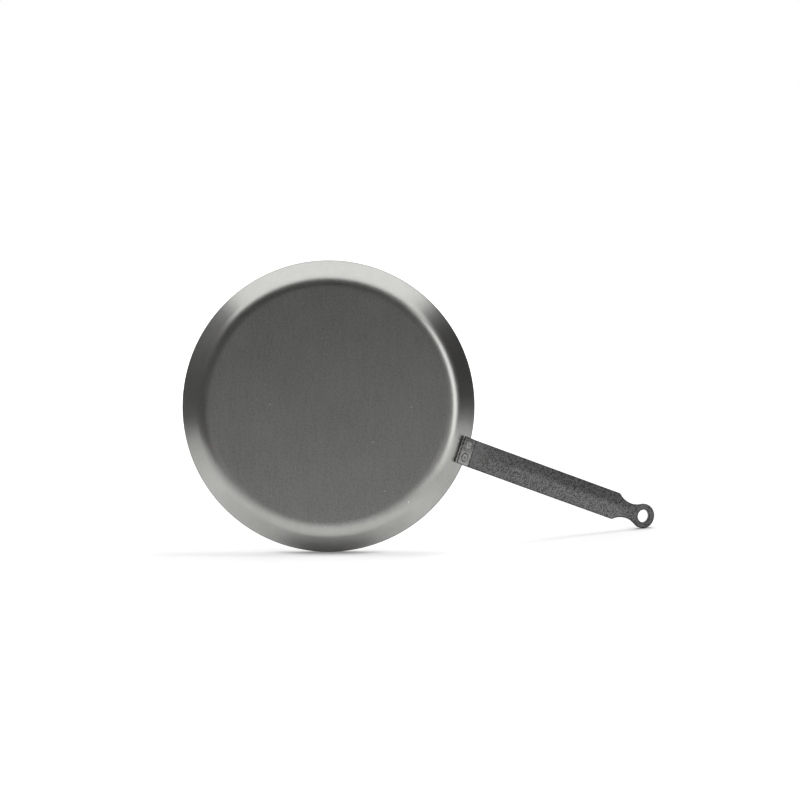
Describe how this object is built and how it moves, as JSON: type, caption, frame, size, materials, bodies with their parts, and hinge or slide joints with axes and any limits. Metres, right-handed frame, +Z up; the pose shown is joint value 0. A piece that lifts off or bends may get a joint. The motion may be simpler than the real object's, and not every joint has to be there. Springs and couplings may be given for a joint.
{
  "type": "crepe pan",
  "caption": "Shallow round steel crepe pan with a low flared wall and a long bent strip handle that ends in a round hanging eye.",
  "frame": {"origin": "centre of the flat base, on its underside", "axes": "+Z up out of the cooking side, +X along the handle, +Y to the handle's left seen from above"},
  "size_m": [0.4105, 0.24, 0.0958],
  "materials": {
    "pan_steel": "satin",
    "handle_coating": "hammered",
    "rivet_steel": "satin"
  },
  "bodies": {
    "root": {"pan_body": "pan_steel", "handle": "handle_coating", "rivet_left": "rivet_steel", "rivet_right": "rivet_steel"}
  },
  "joints": []
}
